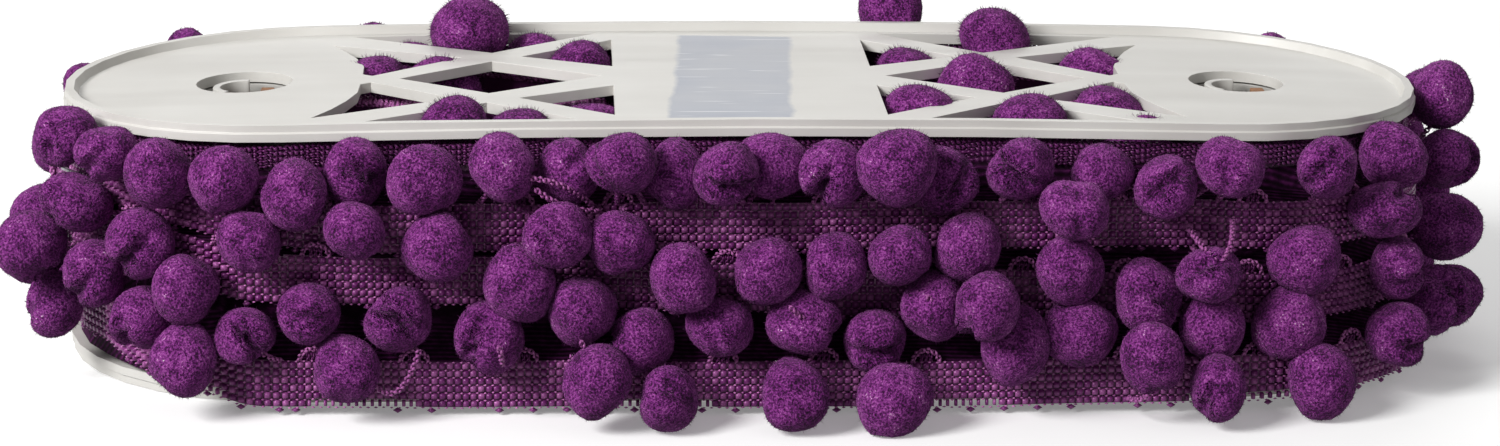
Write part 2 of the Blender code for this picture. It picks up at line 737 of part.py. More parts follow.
def make_inner_bundle(side, row, material, balls):
    """Inner turns of tape on edge under the windows, with the pompoms nearest to them."""
    middle, thick = INNER_BUNDLES[row]
    low = WELL_FLOOR + GAP
    high = low + TAPE_WIDTH
    bm = bmesh.new()
    rings = []
    for i in range(INNER_STEPS + 1):
        x = INNER_SPAN[0] + (INNER_SPAN[1] - INNER_SPAN[0]) * i / INNER_STEPS
        y = middle + INNER_WAVE * math.sin(INNER_WAVE_STEP * i + middle)
        corners = ((y - thick / 2, low), (y + thick / 2, low), (y + thick / 2, high), (y - thick / 2, high))
        rings.append([bm.verts.new((side * x, across, height)) for across, height in corners])
    bridge_rings(bm, rings)
    bm.faces.new(rings[0][::-1])
    bm.faces.new(rings[-1])
    bmesh.ops.recalc_face_normals(bm, faces=bm.faces)
    name = "inner_" + row + ("_left" if side < 0 else "_right")
    bundle = make_object(name, bm, material)
    pile = bmesh.new()
    own = [ball for ball in balls if ball.x * side > 0 and nearest_bundle(ball) == row]
    for index, centre in enumerate(own):
        share = (abs(centre.x) - INNER_SPAN[0]) / (INNER_SPAN[1] - INNER_SPAN[0]) * INNER_STEPS
        y = middle + INNER_WAVE * math.sin(INNER_WAVE_STEP * share + middle)
        add_ball(pile, centre, Vector((centre.x, y, high - INNER_BITE)), index)
    if own:
        apply_boolean(bundle, make_object(name + "_balls", pile, None), "UNION", own_overlaps=True)
    tidy_mesh(bundle)


def nearest_bundle(ball):
    return min(INNER_BUNDLES, key=lambda row: abs(ball.y - INNER_BUNDLES[row][0]))


def make_staple(material):
    """A wire staple in the tape's outer end, its legs bent towards the tape."""
    place = STAPLE["along"] % ROUND_TRIP
    middle, reach = turn_at("upper", place)
    half = STAPLE["length"] / 2
    wire = STAPLE["wire"]
    leg = STAPLE["leg"]
    near = reach + 2 * GAP
    bm = bmesh.new()
    outline = [
        (-half, 0.0), (-half + wire, 0.0), (-half + wire, leg - wire), (half - wire, leg - wire),
        (half - wire, 0.0), (half, 0.0), (half, leg), (-half, leg),
    ]
    add_prism(bm, outline, middle - wire / 2, middle + wire / 2)
    origin = reel_point(place, near, 0.0)
    out = (reel_point(place, near + leg, 0.0) - origin).normalized()
    side = Vector((-out.y, out.x, 0.0))
    for point in bm.verts:
        point.co = origin + side * point.co.x + out * point.co.y + Vector((0, 0, point.co.z))
    bmesh.ops.recalc_face_normals(bm, faces=bm.faces)
    tidy_mesh(make_object("staple", bm, material))


def main():
    clear_scene()
    plastic = make_material("white_plastic", (0.70, 0.69, 0.66), 0.42)
    yarn = make_material("purple_yarn", (0.19, 0.024, 0.20), 0.9)
    board = make_material("brown_board", (0.27, 0.13, 0.06), 0.85)
    steel = make_material("staple_steel", (0.55, 0.55, 0.56), 0.35, 1.0)
    make_flanges(plastic)
    for side in (-1, 1):
        make_hub(side, plastic)
        make_peg(side, board)
    make_roll(yarn)
    roots = choose_roots(seat_balls())
    for turn in TURNS:
        for stretch in STRETCHES:
            make_tape(turn, stretch, yarn, roots)
    window_balls = seat_window_balls()
    for side in (-1, 1):
        for row in INNER_BUNDLES:
            make_inner_bundle(side, row, yarn, window_balls)
    make_staple(steel)
    print("pompoms", len(roots) + len(window_balls))
    print("triangles", sum(len(made.data.polygons) for made in bpy.data.objects))


main()
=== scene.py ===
# Ball fringe trim on its plastic reel: the looks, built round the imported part.
# Lengths in this file are in millimetres until a mesh is made, and materials work in metres. The way
# round the reel is measured as in the part: from the front's left end, anticlockwise from above.
import math

import bpy
import numpy as np
from mathutils import Matrix, Vector


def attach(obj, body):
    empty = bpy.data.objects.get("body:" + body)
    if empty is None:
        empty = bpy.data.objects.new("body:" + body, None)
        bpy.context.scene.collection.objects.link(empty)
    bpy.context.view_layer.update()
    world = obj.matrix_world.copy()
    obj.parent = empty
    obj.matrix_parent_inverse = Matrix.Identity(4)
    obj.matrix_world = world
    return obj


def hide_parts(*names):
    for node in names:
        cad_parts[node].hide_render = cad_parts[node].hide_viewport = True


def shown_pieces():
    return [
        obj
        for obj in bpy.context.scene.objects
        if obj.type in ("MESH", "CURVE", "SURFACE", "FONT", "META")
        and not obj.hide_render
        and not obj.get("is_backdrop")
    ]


mm = 0.001

reel = {"length": 275.0, "width": 95.0, "bow": 2.6}
endRadius = reel["width"] / 2
endCentre = reel["length"] / 2 - endRadius
straight = 2 * endCentre
endArc = math.pi * endRadius
roundTrip = 2 * (straight + endArc)


# Places on the reel

def reelPoints(along, reach, height):
    # along the way round, out from the reel's long middle line, and up
    along = np.mod(np.asarray(along, float), roundTrip)
    reach = np.broadcast_to(reach, along.shape)
    rightTurn = (along - straight) / endRadius - math.pi / 2
    leftTurn = (along - 2 * straight - endArc) / endRadius + math.pi / 2
    parts = [along <= straight, along <= straight + endArc, along <= 2 * straight + endArc]
    x = np.select(parts, [along - endCentre, endCentre + reach * np.cos(rightTurn),
                          endCentre - (along - straight - endArc)], -endCentre + reach * np.cos(leftTurn))
    y = np.select(parts, [-reach, reach * np.sin(rightTurn), reach], reach * np.sin(leftTurn))
    return np.stack([x, y, np.broadcast_to(height, along.shape)], axis=-1)


def reelFrame(along):
    # the directions along the way round, up, and out from the reel
    out = unit(reelPoints(along, 60.0, 0.0) - reelPoints(along, 50.0, 0.0))
    way = np.stack([-out[..., 1], out[..., 0], np.zeros(out.shape[:-1])], axis=-1)
    up = np.broadcast_to(np.array([0.0, 0.0, 1.0]), out.shape)
    return way, up, out


def wayRound(points):
    # the place along the way round of points near the reel
    x, y = points[..., 0], points[..., 1]
    right = straight + endRadius * (np.arctan2(y, x - endCentre) + math.pi / 2)
    left = 2 * straight + endArc + endRadius * (np.mod(np.arctan2(y, x + endCentre), math.tau) - math.pi / 2)
    front = x + endCentre
    back = straight + endArc + endCentre - x
    return np.select([x > endCentre, x < -endCentre, y < 0], [right, left, front], back)


def unit(vectors):
    return vectors / np.maximum(np.linalg.norm(vectors, axis=-1, keepdims=True), 1e-9)


def lift(x):
    # the upper flange's bow
    return reel["bow"] * (1 - (x / (reel["length"] / 2)) ** 2)


# Small helpers for meshes and materials

def pickOnly(piece):
    bpy.ops.object.select_all(action="DESELECT")
    piece.select_set(True)
    bpy.context.view_layer.objects.active = piece


def linear(code):
    # an sRGB hex colour as linear red, green, blue and alpha
    values = [int(code[i:i + 2], 16) / 255 for i in (1, 3, 5)]
    return tuple(v / 12.92 if v <= 0.04045 else ((v + 0.055) / 1.055) ** 2.4 for v in values) + (1.0,)


def newMaterial(name):
    made = bpy.data.materials.new(name)
    made.use_nodes = True
    return made, made.node_tree.nodes["Principled BSDF"]


def addNode(material, kind, values=None, links=None, **settings):
    node = material.node_tree.nodes.new("ShaderNode" + kind)
    for key, value in settings.items():
        setattr(node, key, value)
    for key, value in (values or {}).items():
        node.inputs[key].default_value = value
    for key, source in (links or {}).items():
        material.node_tree.links.new(source, node.inputs[key])
    return node


def setRamp(node, stops):
    ramp = node.color_ramp
    while len(ramp.elements) < len(stops):
        ramp.elements.new(0.5)
    for element, (place, code) in zip(ramp.elements, stops):
        element.position = place
        element.color = linear(code)


class Yarns:
    # gathers small yarn shapes and makes one mesh of them
    beadFaces = np.array([
        (0, 1, 4), (1, 2, 4), (2, 3, 4), (3, 0, 4), (1, 0, 5), (2, 1, 5), (3, 2, 5), (0, 3, 5),
    ])
    brickFaces = np.array([
        (4, 5, 6), (4, 6, 7), (0, 1, 5), (0, 5, 4), (1, 2, 6),
        (1, 6, 5), (2, 3, 7), (2, 7, 6), (3, 0, 4), (3, 4, 7),
    ])

    def __init__(self):
        self.points, self.faces, self.shades, self.count = [], [], [], 0

    def add(self, points, faces, shades):
        self.points.append(points)
        self.faces.append(faces + self.count)
        self.shades.append(np.broadcast_to(shades, len(points)))
        self.count += len(points)

    def beads(self, centres, way, up, out, sizes, shade=0.5):
        # a bead is an eight-sided pillow of yarn, sizes are its half lengths
        sizes = np.broadcast_to(sizes, (len(centres), 3))
        a, b, c = way * sizes[:, 0:1], up * sizes[:, 1:2], out * sizes[:, 2:3]
        corners = [centres + a, centres + b, centres - a, centres - b, centres + c, centres - c]
        points = np.stack(corners, axis=1).reshape(-1, 3)
        starts = (np.arange(len(centres)) * 6)[:, None, None]
        self.add(points, (self.beadFaces[None] + starts).reshape(-1, 3),
                 np.repeat(np.broadcast_to(shade, len(centres)), 6))

    def bricks(self, centres, way, up, out, sizes, shade):
        # a woven cell: a low block with a smaller flat top, open at its back
        a, b, c = way * sizes[:, 0:1], up * sizes[:, 1:2], out * sizes[:, 2:3]
        corners = []
        for wide, high in ((1.0, -1.0), (0.74, 1.0)):
            for x, y in ((1, 1), (-1, 1), (-1, -1), (1, -1)):
                corners.append(centres + (x * a + y * b) * wide + c * high)
        points = np.stack(corners, axis=1).reshape(-1, 3)
        starts = (np.arange(len(centres)) * 8)[:, None, None]
        self.add(points, (self.brickFaces[None] + starts).reshape(-1, 3), np.repeat(shade, 8))

    def rope(self, path, thickness, twist, spacing, shade=0.5):
        # two strands laid round each other along a path
        steps = np.linalg.norm(np.diff(path, axis=0), axis=1)
        length = np.concatenate([[0.0], np.cumsum(steps)])
        count = max(2, int(length[-1] / spacing))
        places = (np.arange(count) + 0.5) * length[-1] / count
        middle = np.stack([np.interp(places, length, path[:, k]) for k in range(3)], axis=-1)
        ahead = np.stack([np.interp(places + 0.3, length, path[:, k]) for k in range(3)], axis=-1)
        behind = np.stack([np.interp(places - 0.3, length, path[:, k]) for k in range(3)], axis=-1)
        way = unit(ahead - behind)
        first = unit(np.cross(way, np.array([0.21, 0.37, 0.9])))
        second = np.cross(way, first)
        offset = thickness * 0.27
        for strand in (0.0, math.pi):
            turn = (math.tau * places / twist + strand)[:, None]
            side = first * np.cos(turn) + second * np.sin(turn)
            forward = -first * np.sin(turn) + second * np.cos(turn)
            lay = unit(way + forward * (math.tau * offset / twist))
            sizes = (spacing * 0.95, thickness * 0.3, thickness * 0.3)
            self.beads(middle + side * offset, lay, np.cross(side, lay), side, sizes, shade)

    def mesh(self, name, material):
        piece = makePiece(name, np.concatenate(self.points), np.concatenate(self.faces), material)
        values = np.concatenate(self.shades)
        piece.data.attributes.new("yarnPaintedLightAndTone", "FLOAT", "POINT").data.foreach_set("value", values)
        return piece


def makePiece(name, points, faces, material, smooth=True):
    mesh = bpy.data.meshes.new(name)
    mesh.from_pydata(points * mm, [], faces)
    mesh.materials.append(material)
    mesh.update()
    if smooth:
        mesh.shade_smooth()
    piece = bpy.data.objects.new(name, mesh)
    bpy.context.scene.collection.objects.link(piece)
    return piece


# Materials

# The last colour here is painted shade, laid over the hub walls the further down they go
plastic = {
    "plate": "#D3D1CC", "shadow": "#C2BFB9", "residue": "#989DAA", "scratch": "#E6E6E6", "paintedHubShade": "#6F6D69",
    "smoothest": 0.34, "dullest": 0.56,
}
# the patch across the middle of the upper flange, in metres: half its length and width, and its ragged edge
patch = {"halfX": 0.0136, "halfY": 0.041, "ragged": 0.0048, "soft": 0.0012, "turn": 0.053, "shift": 0.0022}


def multiplied(material, first, second):
    return addNode(material, "Math", links={0: first, 1: second}, operation="MULTIPLY").outputs[0]


def laidOver(material, share, under, code):
    # a fixed colour over another one
    both = addNode(material, "Mix", {7: linear(code)}, {0: share, 6: under}, data_type="RGBA")
    return both.outputs[2]


def labelResidue(made, place, cloud, scratches, colour):
    # what a torn-off paper label leaves: a bluish, scratched patch on the flange's top
    turned = addNode(made, "Mapping", {"Rotation": (0, 0, patch["turn"]), "Location": (patch["shift"], 0, 0)},
                     {"Vector": place})
    ragged = addNode(made, "TexNoise", {"Scale": 55.0, "Detail": 6.0, "Roughness": 0.62}, {"Vector": place})
    axes = addNode(made, "SeparateXYZ", links={"Vector": turned.outputs["Vector"]})
    top = addNode(made, "MapRange", {1: 0.0535, 2: 0.0539}, {0: axes.outputs["Z"]})
    worn = addNode(made, "MapRange", {1: 0.35, 2: 0.62, 3: 0.7, 4: 1.0}, {0: cloud})
    inside = multiplied(made, top.outputs[0], worn.outputs[0])
    for axis, half in (("X", patch["halfX"]), ("Y", patch["halfY"])):
        size = addNode(made, "Math", links={0: axes.outputs[axis]}, operation="ABSOLUTE")
        rough = addNode(made, "Math", {1: patch["ragged"]}, {0: ragged.outputs["Fac"], 2: size.outputs[0]},
                        operation="MULTIPLY_ADD")
        edge = addNode(made, "MapRange", {1: half + patch["soft"], 2: half}, {0: rough.outputs[0]})
        inside = multiplied(made, inside, edge.outputs[0])
    line = addNode(made, "MapRange", {1: 0.66, 2: 0.72, 3: 0.0, 4: 0.75}, {0: scratches})
    colour = laidOver(made, inside, colour, plastic["residue"])
    return laidOver(made, multiplied(made, line.outputs[0], inside), colour, plastic["scratch"])


def mouldedPolystyrene(name, residue, paintedHubShade=False):
    # high impact polystyrene, injection moulded: satin, with faint flow streaks and handling scratches
    made, shader = newMaterial(name)
    place = addNode(made, "TexCoord").outputs["Object"]
    cloud = addNode(made, "TexNoise", {"Scale": 28.0, "Detail": 4.0}, {"Vector": place}).outputs["Fac"]
    streaks = addNode(made, "Mapping", {"Scale": (9.0, 150.0, 60.0), "Rotation": (0, 0, 0.06)},
                      {"Vector": place})
    flow = addNode(made, "TexNoise", {"Scale": 1.0, "Detail": 5.0, "Roughness": 0.6},
                   {"Vector": streaks.outputs["Vector"]}).outputs["Fac"]
    both = addNode(made, "Mix", {0: 0.5}, {2: cloud, 3: flow}, data_type="FLOAT")
    tone = addNode(made, "ValToRGB", links={"Fac": both.outputs[0]})
    setRamp(tone, [(0.3, plastic["shadow"]), (0.62, plastic["plate"])])
    colour = tone.outputs["Color"]
    hairs = addNode(made, "Mapping", {"Scale": (60.0, 900.0, 500.0), "Rotation": (0, 0, 0.5)},
                    {"Vector": place})
    scratches = addNode(made, "TexNoise", {"Scale": 1.0, "Detail": 2.0},
                        {"Vector": hairs.outputs["Vector"]}).outputs["Fac"]
    if residue:
        colour = labelResidue(made, place, cloud, scratches, colour)
    if paintedHubShade:
        # inside the hubs the walls go dim with depth, as in the photo
        # painted shade: the colour is laid darker from just below the flange's top down to 47.5 mm, and is
        # fully dark below that
        axes = addNode(made, "SeparateXYZ", links={"Vector": place})
        depth = addNode(made, "MapRange", {1: 0.0532, 2: 0.0475}, {0: axes.outputs["Z"]})
        colour = laidOver(made, depth.outputs[0], colour, plastic["paintedHubShade"])
    made.node_tree.links.new(colour, shader.inputs["Base Color"])
    dull = addNode(made, "MapRange", {1: 0.3, 2: 0.75, 3: plastic["smoothest"], 4: plastic["dullest"]},
                   {0: flow})
    made.node_tree.links.new(dull.outputs[0], shader.inputs["Roughness"])
    marks = addNode(made, "Bump", {"Strength": 0.10, "Distance": 0.0002}, {"Height": scratches})
    waves = addNode(made, "Bump", {"Strength": 0.06, "Distance": 0.0008},
                    {"Height": cloud, "Normal": marks.outputs["Normal"]})
    made.node_tree.links.new(waves.outputs["Normal"], shader.inputs["Normal"])
    shader.inputs["IOR"].default_value = 1.59
    shader.inputs["Subsurface Weight"].default_value = 0.08
    shader.inputs["Subsurface Radius"].default_value = (0.0012, 0.0011, 0.001)
    return made


# The first two colours are painted shade down in the pile, the tip colour a painted highlight on the fibre
# ends, and the fifth a painted glint on a few of them
pile = {
    "root": "#230A23", "low": "#4D164E", "mid": "#7A2B7B", "tip": "#AE5AA9", "paintedGlint": "#F0D8EA",
    "sheen": "#D08ACB", "grain": 2200.0,
}


def cutPile(name):
    # cut acrylic pile: matt fibres, with painted shade down between them and a painted highlight at their tips
    made, shader = newMaterial(name)
    # the fibres' cut ends are finer than a pixel, so their grain is drawn at about 0.45 mm
    place = addNode(made, "TexCoord").outputs["Object"]
    shade = addNode(made, "Attribute", attribute_name="pilePaintedLightAndTone")
    grain = addNode(made, "TexNoise", {"Scale": pile["grain"], "Detail": 2.0, "Roughness": 0.7},
                    {"Vector": place})
    cloud = addNode(made, "TexNoise", {"Scale": 330.0, "Detail": 2.0}, {"Vector": place})
    spread = addNode(made, "MapRange", {1: 0.32, 2: 0.68, 3: -0.42, 4: 0.38}, {0: grain.outputs["Fac"]})
    patch = addNode(made, "MapRange", {1: 0.35, 2: 0.65, 3: -0.14, 4: 0.12}, {0: cloud.outputs["Fac"]})
    both = addNode(made, "Math", links={0: shade.outputs["Fac"], 1: spread.outputs[0]}, operation="ADD")
    both = addNode(made, "Math", links={0: both.outputs[0], 1: patch.outputs[0]}, operation="ADD")
    tone = addNode(made, "ValToRGB", links={"Fac": both.outputs[0]})
    setRamp(tone, [(0.0, pile["root"]), (0.28, pile["low"]), (0.52, pile["mid"]), (0.95, pile["tip"]),
                   (1.0, pile["paintedGlint"])])
    made.node_tree.links.new(tone.outputs["Color"], shader.inputs["Base Color"])
    bump = addNode(made, "Bump", {"Strength": 0.9, "Distance": 0.0007}, {"Height": grain.outputs["Fac"]})
    made.node_tree.links.new(bump.outputs["Normal"], shader.inputs["Normal"])
    shader.inputs["Roughness"].default_value = 0.9
    shader.inputs["IOR"].default_value = 1.5
    shader.inputs["Specular IOR Level"].default_value = 0.15
    shader.inputs["Sheen Weight"].default_value = 0.3
    shader.inputs["Sheen Roughness"].default_value = 0.35
    shader.inputs["Sheen Tint"].default_value = linear(pile["sheen"])
    return made


# The dark colour serves as painted shade and the pale one as a painted highlight; the yarn's own colour is the
# mid one
braid = {"dark": "#22081F", "mid": "#6E2569", "pale": "#C878BA", "glint": "#F7C9EE", "sheen": "#E3A6DE"}


def rayonBraid(name):
    # viscose braid yarn: bright and slightly silky, its twist too fine to show but as glints
    made, shader = newMaterial(name)
    place = addNode(made, "TexCoord").outputs["Object"]
    shade = addNode(made, "Attribute", attribute_name="yarnPaintedLightAndTone")
    grain = addNode(made, "TexNoise", {"Scale": 1400.0, "Detail": 2.0}, {"Vector": place})
    # the yarn attribute lays painted shade and painted highlights over the yarn's colour, with some random tone
    both = addNode(made, "Math", {1: 0.25}, {0: grain.outputs["Fac"], 2: shade.outputs["Fac"]},
                   operation="MULTIPLY_ADD")
    tone = addNode(made, "ValToRGB", links={"Fac": both.outputs[0]})
    setRamp(tone, [(0.0, braid["dark"]), (0.6, braid["mid"]), (1.0, braid["pale"])])
    made.node_tree.links.new(tone.outputs["Color"], shader.inputs["Base Color"])
    bump = addNode(made, "Bump", {"Strength": 0.35, "Distance": 0.0002}, {"Height": grain.outputs["Fac"]})
    made.node_tree.links.new(bump.outputs["Normal"], shader.inputs["Normal"])
    shader.inputs["Roughness"].default_value = 0.34
    shader.inputs["IOR"].default_value = 1.52
    shader.inputs["Specular Tint"].default_value = linear(braid["glint"])
    shader.inputs["Sheen Weight"].default_value = 0.2
    shader.inputs["Sheen Tint"].default_value = linear(braid["sheen"])
    return made


# All three colours are painted shade, far darker than the braid's own colour
wound = {"dark": "#1A0617", "mid": "#381036", "pale": "#5E2059", "rowPitch": 0.0015}


def woundBraid(name):
    # the imported inner turns: rows of braid edges 1.5 mm apart, all coloured near black as painted shade
    made, shader = newMaterial(name)
    place = addNode(made, "TexCoord").outputs["Object"]
    axes = addNode(made, "SeparateXYZ", links={"Vector": place})
    across = addNode(made, "Math", links={0: axes.outputs["Y"], 1: axes.outputs["Z"]}, operation="ADD")
    bent = addNode(made, "TexNoise", {"Scale": 60.0, "Detail": 2.0}, {"Vector": place})
    moved = addNode(made, "Math", {1: 0.0022}, {0: bent.outputs["Fac"], 2: across.outputs[0]},
                    operation="MULTIPLY_ADD")
    rows = addNode(made, "Math", {1: math.tau / wound["rowPitch"]}, {0: moved.outputs[0]}, operation="MULTIPLY")
    ridge = addNode(made, "Math", links={0: rows.outputs[0]}, operation="SINE")
    cells = addNode(made, "TexNoise", {"Scale": 620.0, "Detail": 2.0}, {"Vector": place})
    both = addNode(made, "Math", {1: 0.25}, {0: ridge.outputs[0], 2: cells.outputs["Fac"]},
                   operation="MULTIPLY_ADD")
    tone = addNode(made, "ValToRGB", links={"Fac": both.outputs[0]})
    setRamp(tone, [(0.25, wound["dark"]), (0.6, wound["mid"]), (0.9, wound["pale"])])
    made.node_tree.links.new(tone.outputs["Color"], shader.inputs["Base Color"])
    bump = addNode(made, "Bump", {"Strength": 0.5, "Distance": 0.0006}, {"Height": both.outputs[0]})
    made.node_tree.links.new(bump.outputs["Normal"], shader.inputs["Normal"])
    shader.inputs["Roughness"].default_value = 0.85
    shader.inputs["Specular IOR Level"].default_value = 0.1
    return made


def kraftBoard(name):
    # unbleached kraft board: brown, matt, with paler fibres
    made, shader = newMaterial(name)
    place = addNode(made, "TexCoord").outputs["Object"]
    fibres = addNode(made, "TexNoise", {"Scale": 900.0, "Detail": 6.0, "Roughness": 0.7}, {"Vector": place})
    tone = addNode(made, "ValToRGB", links={"Fac": fibres.outputs["Fac"]})
    setRamp(tone, [(0.3, "#6E4A33"), (0.6, "#9C7150"), (0.8, "#B98F6A")])
    made.node_tree.links.new(tone.outputs["Color"], shader.inputs["Base Color"])
    bump = addNode(made, "Bump", {"Strength": 0.4, "Distance": 0.0003}, {"Height": fibres.outputs["Fac"]})
    made.node_tree.links.new(bump.outputs["Normal"], shader.inputs["Normal"])
    shader.inputs["Roughness"].default_value = 0.9
    return made


def stapleWire(name):
    # zinc plated steel wire, drawn and slightly tarnished
    made, shader = newMaterial(name)
    place = addNode(made, "TexCoord").outputs["Object"]
    tarnish = addNode(made, "TexNoise", {"Scale": 700.0, "Detail": 3.0}, {"Vector": place})
    tone = addNode(made, "ValToRGB", links={"Fac": tarnish.outputs["Fac"]})
    setRamp(tone, [(0.35, "#5E5D62"), (0.7, "#A9A8AC")])
    made.node_tree.links.new(tone.outputs["Color"], shader.inputs["Base Color"])
    shader.inputs["Metallic"].default_value = 1.0
    shader.inputs["Roughness"].default_value = 0.3
    return made


# The reel's mouldings

def mouldedCopy(name, node, material, edge):
    # the CAD moulding with its corners rounded, as a tool's are
    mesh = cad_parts[node].data.copy()
    piece = bpy.data.objects.new(name, mesh)
    bpy.context.scene.collection.objects.link(piece)
    pickOnly(piece)
    bpy.ops.object.mode_set(mode="EDIT")
    bpy.ops.mesh.select_all(action="SELECT")
    bpy.ops.mesh.remove_doubles(threshold=0.00001)
    bpy.ops.mesh.dissolve_limited(angle_limit=math.radians(0.6))
    bpy.ops.object.mode_set(mode="OBJECT")
    piece.data.materials.clear()
    piece.data.materials.append(material)
    if edge:
        bevel = piece.modifiers.new("roundedEdge", "BEVEL")
        bevel.width = edge * mm
        bevel.segments = 2
        bevel.limit_method = "ANGLE"
        bevel.angle_limit = math.radians(32)
        bpy.ops.object.modifier_apply(modifier=bevel.name)
    bpy.ops.object.shade_smooth_by_angle(angle=math.radians(32))
    even = piece.modifiers.new("evenShading", "WEIGHTED_NORMAL")
    even.keep_sharp = True
    bpy.ops.object.modifier_apply(modifier=even.name)
    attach(piece, "root")
    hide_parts(node)
    return piece


hubTongue = {"centre": 101.3, "inside": 4.9, "outside": 6.4, "from": 85, "to": 235, "foot": 40.0, "top": 51.3}


def makeHubTongue(name, side, material):
    # the raised C-shaped wall inside a hub, with a dark channel round it; both take the hub material's painted
    # shade, darker with depth
    section = (("inside", "foot"), ("outside", "foot"), ("outside", "top"), ("inside", "top"))
    points, steps = [], 18
    for i in range(steps + 1):
        turn = math.radians(hubTongue["from"] + (hubTongue["to"] - hubTongue["from"]) * i / steps)
        for radius, height in section:
            x = side * hubTongue["centre"] + hubTongue[radius] * math.cos(turn)
            points.append((x, hubTongue[radius] * math.sin(turn), hubTongue[height] + lift(x)))
    faces = [(3, 2, 1, 0), tuple(4 * steps + k for k in range(4))]
    for i in range(steps):
        for k in range(4):
            faces.append((4 * i + k, 4 * i + (k + 1) % 4, 4 * i + 4 + (k + 1) % 4, 4 * i + 4 + k))
    piece = makePiece(name, np.array(points), faces, material, smooth=False)
    pickOnly(piece)
    bpy.ops.object.mode_set(mode="EDIT")
    bpy.ops.mesh.select_all(action="SELECT")
    bpy.ops.mesh.normals_make_consistent(inside=False)
    bpy.ops.object.mode_set(mode="OBJECT")
    bevel = piece.modifiers.new("roundedEdge", "BEVEL")
    bevel.width = 0.2 * mm
    bevel.segments = 2
    bpy.ops.object.modifier_apply(modifier=bevel.name)
    bpy.ops.object.shade_smooth_by_angle(angle=math.radians(32))
    return piece


# Pompoms

pompom = {
    "radius": 6.75, "masters": 12, "fibres": 3000, "fibreWidth": 0.22, "fibreLay": 0.42, "rootDepth": 0.5,
    "stray": 0.13, "strayLength": 0.7, "windowStray": 0.4, "windowStrayLength": 0.95,
    "windowSize": (1.22, 1.2, 1.02), "windowLift": 1.9, "windowMasters": 3,
    "lumps": 14, "pits": 14, "paintedGlintShare": 0.0025, "cleftsOutside": 0.6,
    "clefts": (0.0, 0.22, 0.44, 0.05, 0.56, 0.28, 0.1, 0.5, 0.16, 0.34, 0.0, 0.4),
}


def makeMaster(seed, stray, strayLength):
    # one pompom about the origin: a lumpy core and its pile, as arrays
    rng = np.random.default_rng(seed)
    bpy.ops.object.select_all(action="DESELECT")
    bpy.ops.mesh.primitive_ico_sphere_add(subdivisions=3, radius=1.0)
    core = bpy.context.object
    coreWays = np.array([tuple(v.co) for v in core.data.vertices])
    coreWays = unit(coreWays)
    coreFaces = np.array([tuple(p.vertices) for p in core.data.polygons])
    bpy.data.objects.remove(core, do_unlink=True)
    count = pompom["fibres"]
    index = np.arange(count) + 0.5
    polar = np.arccos(1 - 2 * index / count)
    around = math.pi * (1 + 5 ** 0.5) * index
    ways = np.stack([np.cos(around) * np.sin(polar), np.sin(around) * np.sin(polar), np.cos(polar)], axis=-1)
    ways = unit(ways + rng.normal(size=ways.shape) * 0.02)
    lumps = unit(rng.normal(size=(pompom["lumps"], 3)))
    lumpSizes = rng.uniform(-0.15, 0.13, pompom["lumps"])
    squash = unit(rng.normal(size=3))
    flat = rng.uniform(0.04, 0.22)
    cleftWay = unit(rng.normal(size=3))
    cleftSide = unit(np.cross(cleftWay, rng.normal(size=3)))
    cleft = pompom["clefts"][seed % len(pompom["clefts"])]
    pits = unit(rng.normal(size=(pompom["pits"], 3)))
    pitSizes = rng.uniform(0.1, 0.5, pompom["pits"])

    def fold(directions):
        side = np.clip(directions @ cleftSide, 0, 1) ** 1.5
        return cleft * np.exp(-((directions @ cleftWay) / 0.2) ** 2) * side

    def surface(directions):
        size = 1.02 + (np.exp(9 * (directions @ lumps.T - 1)) * lumpSizes).sum(axis=1)
        size -= flat * (directions @ squash) ** 2
        return size - fold(directions)

    # painted shade: how much darker the pile is coloured in its pits and its cleft
    def paintedHollowShade(directions):
        small = (np.exp(60 * (directions @ pits.T - 1)) * pitSizes).sum(axis=1)
        return small + 1.3 * fold(directions)

    size = surface(ways) * pompom["radius"]
    hollow = paintedHollowShade(ways)
    tall = rng.normal(0.0, 0.08, count) - 0.25 * hollow
    loose = rng.random(count) < stray
    tall += loose * rng.uniform(0.25, 1.0, count) * strayLength
    lay = unit(np.cross(ways, rng.normal(size=ways.shape)))
    layLength = pompom["fibreLay"] * rng.uniform(0.5, 1.2, count) * np.where(loose, 0.5, 1.0)
    tips = ways * (size + tall)[:, None] + lay * layLength[:, None]
    roots = ways * (size - pompom["rootDepth"])[:, None] - lay * layLength[:, None] * 0.4
    side = np.cross(ways, lay) * (pompom["fibreWidth"] / 2 * np.where(loose, 0.6, 1.0))[:, None]
    fibrePoints = np.stack([roots - side, roots + side, tips], axis=1).reshape(-1, 3)
    fibreFaces = np.arange(count * 3).reshape(-1, 3)
    # painted shade and highlight: fibre roots and hollows are coloured darker, tips paler
    base = rng.normal(0.0, 0.05, count) - 0.4 * hollow
    tipShade = np.clip(0.58 + base + rng.normal(0, 0.07, count), 0, 0.8)
    # a few fibre tips carry a painted glint
    glintFibres = rng.random(count) < pompom["paintedGlintShare"]
    tipShade[glintFibres] = 1.3
    rootShade = np.clip(0.4 + base, 0, 0.6)
    fibreShades = np.stack([rootShade, rootShade, tipShade], axis=1).reshape(-1)
    corePoints = coreWays * (surface(coreWays) * pompom["radius"] - 0.1)[:, None]
    coreShades = np.clip(0.5 - 0.45 * paintedHollowShade(coreWays), 0, 1)
    # the pile is shaded by the slope of the ball's own lumps, found from two short steps aside
    coreNormals, soft = [
        unit(directions - slopeOf(surface, directions)) for directions in (coreWays, ways)
    ]
    fibreNormals = np.repeat(unit(soft + rng.normal(size=ways.shape) * 0.34), 3, axis=0)
    return {
        "points": np.concatenate([corePoints, fibrePoints]),
        "faces": np.concatenate([coreFaces, fibreFaces + len(corePoints)]),
        "shades": np.concatenate([coreShades, fibreShades]),
        "normals": np.concatenate([coreNormals, fibreNormals]),
        "cleft": cleftSide,
    }


